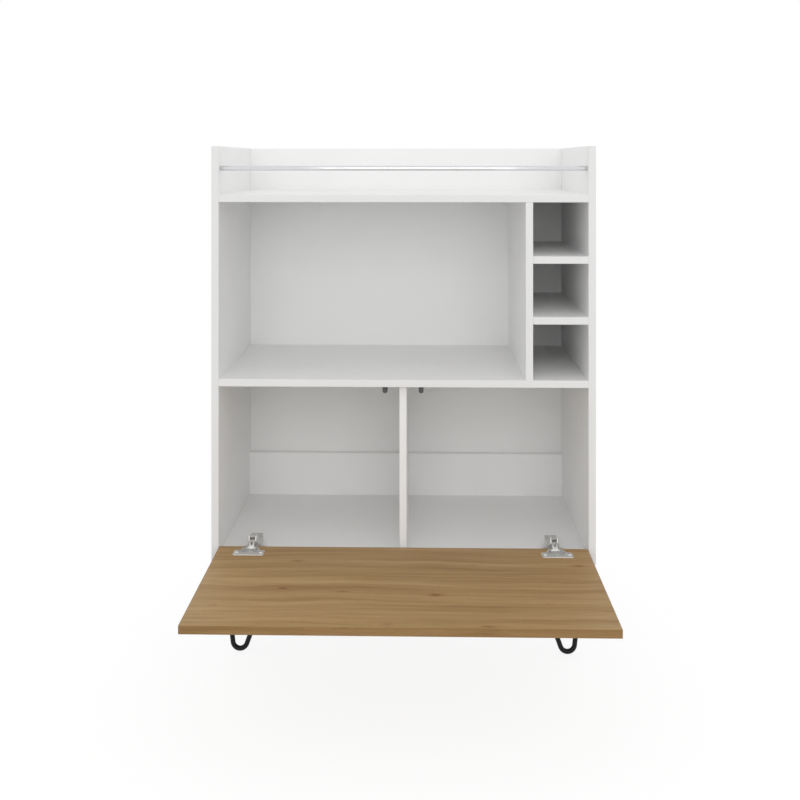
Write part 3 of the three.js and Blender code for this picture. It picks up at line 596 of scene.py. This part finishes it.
def merged_copy(node, name, whole=True):
    """A copy of a CAD solid with its points merged, and with its flat faces made whole if wished."""
    piece = bpy.data.objects.new(name, frame["nodes"][node].data.copy())
    bpy.context.scene.collection.objects.link(piece)
    pick(piece)
    bpy.ops.mesh.customdata_custom_splitnormals_clear()
    bpy.ops.object.mode_set(mode="EDIT")
    bpy.ops.mesh.select_all(action="SELECT")
    bpy.ops.mesh.remove_doubles(threshold=merge_reach)
    if whole:
        bpy.ops.mesh.dissolve_limited(angle_limit=flat_turn)
    bpy.ops.object.mode_set(mode="OBJECT")
    return piece


def round_rim(piece, centre, holes):
    """Rounds the upper outer edge of a pressed flange, but not the rim of the cup or of a screw hole."""
    bpy.ops.object.mode_set(mode="EDIT")
    bpy.ops.mesh.select_mode(type="EDGE")
    bpy.ops.mesh.select_all(action="DESELECT")
    form = bmesh.from_edit_mesh(piece.data)
    height = max(point.co.z for point in form.verts)
    for edge in form.edges:
        middle = (edge.verts[0].co + edge.verts[1].co) / 2
        level = all(abs(point.co.z - height) < level_play for point in edge.verts)
        free = (middle.xy - centre).length > cup_reach
        free = free and all((middle.xy - hole).length > screw_hole_reach for hole in holes)
        edge.select_set(level and free and edge.calc_face_angle(0) > steep_turn)
    bmesh.update_edit_mesh(piece.data)
    bpy.ops.mesh.bevel(offset=rim_round, segments=3, affect="EDGES")
    bpy.ops.object.mode_set(mode="OBJECT")


def ease_edges(piece, ease, segments=2):
    """Closes up the shortest edges of a piece and eases the sharp ones."""
    bpy.ops.object.mode_set(mode="EDIT")
    bpy.ops.mesh.select_all(action="SELECT")
    bpy.ops.mesh.dissolve_degenerate(threshold=shortest_edge)
    bpy.ops.object.mode_set(mode="OBJECT")
    bevel = piece.modifiers.new("eased", "BEVEL")
    bevel.width = ease
    bevel.segments = segments
    bevel.limit_method = "ANGLE"
    bevel.angle_limit = sharp_turn
    bevel.use_clamp_overlap = False
    bpy.ops.object.modifier_apply(modifier=bevel.name)


def smooth_faces(piece, turn=eased_turn):
    """Smooths the round faces and the eased edges of a piece, while its flat faces stay flat."""
    pick(piece)
    bpy.ops.object.shade_smooth_by_angle(angle=turn)
    weighted = piece.modifiers.new("weighted", "WEIGHTED_NORMAL")
    weighted.keep_sharp = True
    bpy.ops.object.modifier_apply(modifier=weighted.name)


def stand_for(piece, node, finish):
    """The piece takes a CAD node's place, with its finish."""
    piece.data.materials.clear()
    piece.data.materials.append(finish)
    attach(piece, frame["nodes"][node]["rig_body"])
    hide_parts(node)


eased_parts = (
    ("hinge_arm", "arm", pressed_ease), ("hinge_plate", "mounting_plate", pressed_ease),
    ("cup_pin", "cup_pivot", pin_ease), ("link_pin", "link_pivot", pin_ease),
)
cup = merged_copy("hinge_cup_left", "cup_and_flange_left", whole=False)
low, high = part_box("hinge_cup_left")
holes = [sum(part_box(f"cup_screw_left_{place_number}"), Vector()).xy / 2 for place_number in (1, 2)]
round_rim(cup, Vector(((low.x + high.x) / 2, cup_centre_y)), holes)
link = merged_copy("hinge_link_left", "link_left")
left_parts = [("hinge_cup", "cup_and_flange", cup), ("hinge_link", "link", link)]
for node, name, ease in eased_parts:
    piece = merged_copy(f"{node}_left", f"{name}_left")
    ease_edges(piece, ease)
    left_parts.append((node, name, piece))
for node, name, piece in left_parts:
    twin = placed_copy(piece, f"{name}_right", scale=(-1, 1, 1))
    for side, part in (("left", piece), ("right", twin)):
        smooth_faces(part, sharp_turn if piece in (cup, link) else eased_turn)
        stand_for(part, f"{node}_{side}", nickel)

# The screws
# Pan-headed cross-recess screws: nickel ones for the hinges and the catches, black ones for the legs,
# and two short adjusting screws in each hinge arm.
head_radius = 0.004
head_height = 0.0024
shank_radius = 0.002
screw_length = 0.012
recess_length = 0.0044
recess_width = 0.0010
recess_depth = 0.0015
recess_taper = 0.45
screw_sides = 32
screw_roll = 37
cross_turn = 90
adjuster_places = (0.0215, 0.0365)
adjuster_scale = (0.82, 0.82, 0.75)
adjuster_height = 0.2346
adjuster_rolls = (radians(65), radians(110))
black_light = (0.0095, 0.0095, 0.0105, 1)
black_dark = (0.0055, 0.0055, 0.0062, 1)
black_shine = 0.22
black_roughness = (0.36, 0.5)
pebble_scales = (650, 650, 650)
pebble_depth = 0.00010
pebble_strength = 0.4
dust_scales = (35, 35, 35)
dust_range = (0.4, 0.75)

screw = turned_form("screw", (
    (head_radius * 0.45, 0), (head_radius * 0.72, -head_height * 0.10),
    (head_radius * 0.90, -head_height * 0.30), (head_radius * 0.985, -head_height * 0.58),
    (head_radius, -head_height * 0.80), (head_radius, -head_height),
    (shank_radius, -head_height), (shank_radius, -head_height - screw_length * 0.75),
    (shank_radius * 0.15, -head_height - screw_length),
), screw_sides)
for turn in (0, radians(cross_turn)):
    bpy.ops.object.select_all(action="DESELECT")
    bpy.ops.mesh.primitive_cube_add(size=1, location=(0, 0, 0))
    cutter = bpy.context.object
    cutter.scale = (recess_length, recess_width, 2 * recess_depth)
    cutter.rotation_euler = (0, 0, turn)
    bpy.ops.object.transform_apply(location=True, rotation=True, scale=True)
    bpy.ops.object.mode_set(mode="EDIT")
    bpy.ops.mesh.select_all(action="DESELECT")
    form = bmesh.from_edit_mesh(cutter.data)
    for face in form.faces:
        face.select_set(face.calc_center_median().z < -recess_depth / 2)
    bmesh.update_edit_mesh(cutter.data)
    bpy.ops.transform.resize(
        value=(recess_taper, recess_taper, 1), center_override=(0, 0, -recess_depth))
    pick(screw)
    recess = screw.modifiers.new("recess", "BOOLEAN")
    recess.operation = "DIFFERENCE"
    recess.solver = "EXACT"
    recess.object = cutter
    bpy.ops.object.modifier_apply(modifier=recess.name)
    bpy.data.objects.remove(cutter)
bpy.ops.object.shade_smooth_by_angle(angle=round_turn)

black_paint, tree, shader, place = new_finish("black_powder_coat")
pebble = cloud(tree, place, pebble_scales, detail=2)
dust = cloud(tree, place, dust_scales, detail=5, roughness=0.6)
colour = tint(tree, spread(tree, dust, *dust_range), black_dark, black_light)
tree.links.new(colour, shader.inputs["Base Color"])
tree.links.new(spread(tree, dust, *smudge_range, *black_roughness), shader.inputs["Roughness"])
tree.links.new(relief(tree, pebble, pebble_depth, pebble_strength), shader.inputs["Normal"])
shader.inputs["Specular IOR Level"].default_value = black_shine

# each row: the node, 1 for a head that faces up or -1 for one that faces down, its finish and its slot
screw_rows = []
for kind in ("cup_screw", "plate_screw"):
    for side in ("left", "right"):
        for place_number in (1, 2):
            screw_rows.append((f"{kind}_{side}_{place_number}", 1, nickel, "nickel_steel"))
for side in ("left", "right"):
    screw_rows.append((f"catch_screw_{side}", -1, nickel, "nickel_steel"))
for end in ("front", "rear"):
    for side in ("left", "right"):
        for place_number in (1, 2, 3):
            screw_rows.append((f"leg_screw_{end}_{side}_{place_number}", -1, black_paint, "black_paint"))
for index, (node, facing, finish, slot) in enumerate(screw_rows):
    low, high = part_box(node)
    top = high.z if facing > 0 else low.z
    spot = ((low.x + high.x) / 2, (low.y + high.y) / 2, top)
    roll = radians(screw_roll * index % cross_turn)
    turn = (0, 0, roll) if facing > 0 else (pi, 0, roll)
    piece = placed_copy(screw, node.replace("screw", "cross_screw"), spot, turn)
    stand_for(piece, node, finish)

for side in ("left", "right"):
    low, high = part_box(f"hinge_arm_{side}")
    for number_in_arm, (depth_in, roll) in enumerate(zip(adjuster_places, adjuster_rolls), 1):
        spot = ((low.x + high.x) / 2, depth_in, adjuster_height)
        piece = placed_copy(
            screw, f"adjusting_screw_{side}_{number_in_arm}", spot, (0, 0, roll), adjuster_scale)
        piece.data.materials.append(nickel)
        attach(piece, "carcass")
bpy.data.objects.remove(screw)

# The touch catches
# Two push-to-open catches under the middle shelf: a moulded grey housing held by one screw through its
# tab, with a sprung round plunger that pushes the closed door open.
plastic_light = (0.105, 0.107, 0.115, 1)
plastic_dark = (0.080, 0.082, 0.088, 1)
housing_ease = 0.0004
plunger_ease = 0.0003
plastic_roughness = (0.42, 0.55)
sparked_scales = (2200, 2200, 2200)
sparked_depth = 0.00005
sparked_strength = 0.5
flow_scales = (60, 25, 60)

plastic, tree, shader, place = new_finish("grey_moulded_plastic")
sparked = cloud(tree, place, sparked_scales, detail=3)
flow = cloud(tree, place, flow_scales, detail=4)
colour = tint(tree, spread(tree, flow, *tone_range), plastic_dark, plastic_light)
tree.links.new(colour, shader.inputs["Base Color"])
tree.links.new(spread(tree, flow, *cloud_range, *plastic_roughness), shader.inputs["Roughness"])
tree.links.new(relief(tree, sparked, sparked_depth, sparked_strength), shader.inputs["Normal"])
for side in ("left", "right"):
    piece = merged_copy(f"catch_housing_{side}", f"catch_case_{side}")
    ease_edges(piece, housing_ease, segments=3)
    smooth_faces(piece)
    stand_for(piece, f"catch_housing_{side}", plastic)
    piece = merged_copy(f"catch_plunger_{side}", f"catch_push_rod_{side}")
    ease_edges(piece, plunger_ease)
    smooth_faces(piece)
    stand_for(piece, f"catch_plunger_{side}", plastic)

# The hairpin legs
# Four legs, each one steel rod bent into a narrow loop and welded under a screwed-on plate, all coated
# in black powder. From the foot one run rises 7.5 degrees outward and the other 20 degrees inward, and
# the feet are splayed 5 degrees to the front or to the rear.
leg_radius = 0.005
bend_radius = 0.0150
outer_lean = radians(7.5)
inner_lean = radians(20)
leg_splay = radians(5)
foot_x = 0.3385
foot_y = 0.0165
legs_middle = 0.169
plate_under = 0.197
weld_height = 0.0030
weld_rings = ((0.9, 1.02), (0.7, 1.06), (0.6, 1.10), (0.8, 1.07))
leg_sides = 28
bend_steps = 28
plate_ease = 0.0005
run_past = 0.02
ring_reach = leg_radius * 1.05
stub_reach = leg_radius * 1.4
rod_turn = radians(40)


def select_near(piece, centre, reach, open_only=False):
    """Selects the points within reach of a centre in edit mode, all of them or those of an open end."""
    form = bmesh.from_edit_mesh(piece.data)
    bpy.ops.mesh.select_all(action="DESELECT")
    bpy.ops.mesh.select_mode(type="VERT")
    for point in form.verts:
        point.select_set((point.co - centre).length < reach and (point.is_boundary or not open_only))
    form.select_flush(True)
    bmesh.update_edit_mesh(piece.data)


inner_end = Vector((-bend_radius * cos(inner_lean), 0, bend_radius * (1 - sin(inner_lean))))
outer_end = Vector((bend_radius * cos(outer_lean), 0, bend_radius * (1 - sin(outer_lean))))
bpy.ops.object.select_all(action="DESELECT")
bpy.ops.mesh.primitive_circle_add(
    vertices=leg_sides, radius=leg_radius, fill_type="NOTHING", location=inner_end,
    rotation=(0, pi - inner_lean, 0))
leg = bpy.context.object
bpy.ops.object.transform_apply(location=True, rotation=True, scale=True)
bpy.ops.object.mode_set(mode="EDIT")
bpy.ops.mesh.select_all(action="SELECT")
bpy.ops.mesh.spin(
    steps=bend_steps, angle=pi - inner_lean - outer_lean, center=(0, 0, bend_radius), axis=(0, 1, 0))
for end, lean, side in ((inner_end, inner_lean, -1), (outer_end, outer_lean, 1)):
    select_near(leg, end, ring_reach, open_only=True)
    run = (plate_under + run_past - end.z) / cos(lean)
    bpy.ops.mesh.extrude_region_move(
        TRANSFORM_OT_translate={"value": (side * run * sin(lean), 0, run * cos(lean))})
bpy.ops.object.mode_set(mode="OBJECT")
leg.location = (foot_x, foot_y, leg_radius)
leg.rotation_euler = (-leg_splay, 0, 0)
bpy.ops.object.transform_apply(location=True, rotation=True, scale=True)
bpy.ops.object.mode_set(mode="EDIT")
bpy.ops.mesh.select_all(action="SELECT")
bpy.ops.mesh.bisect(
    plane_co=(0, 0, plate_under - weld_height), plane_no=(0, 0, 1), clear_outer=True, use_fill=True)
top_y = foot_y + (plate_under - weld_height - leg_radius) * tan(leg_splay)
for end, lean, side in ((inner_end, inner_lean, -1), (outer_end, outer_lean, 1)):
    rise = plate_under - weld_height - leg_radius - end.z
    centre = Vector((foot_x + end.x + side * rise * tan(lean), top_y, plate_under - weld_height))
    select_near(leg, centre, stub_reach)
    for lift, grow in weld_rings:
        step = lift * weld_height / sum(ring[0] for ring in weld_rings)
        bpy.ops.mesh.extrude_region_move(TRANSFORM_OT_translate={"value": (0, 0, step)})
        centre.z += step
        bpy.ops.transform.resize(value=(grow, grow, 1), center_override=centre)
bpy.ops.mesh.select_all(action="SELECT")
bpy.ops.mesh.remove_doubles(threshold=merge_reach)
bpy.ops.mesh.normals_make_consistent(inside=False)
bpy.ops.object.mode_set(mode="OBJECT")
bpy.ops.object.shade_smooth_by_angle(angle=rod_turn)

plate = merged_copy("leg_plate_front_left", "leg_top_plate")
ease_edges(plate, plate_ease)
for end, inward in (("front", 1), ("rear", -1)):
    for side, outward in (("left", -1), ("right", 1)):
        shift = (0, 0 if inward > 0 else 2 * legs_middle, 0)
        piece = placed_copy(leg, f"bent_rod_leg_{end}_{side}", shift, scale=(outward, inward, 1))
        stand_for(piece, f"hairpin_leg_{end}_{side}", black_paint)
        piece = placed_copy(plate, f"leg_top_plate_{end}_{side}", shift, scale=(-outward, inward, 1))
        smooth_faces(piece)
        stand_for(piece, f"leg_plate_{end}_{side}", black_paint)
bpy.data.objects.remove(leg)
bpy.data.objects.remove(plate)
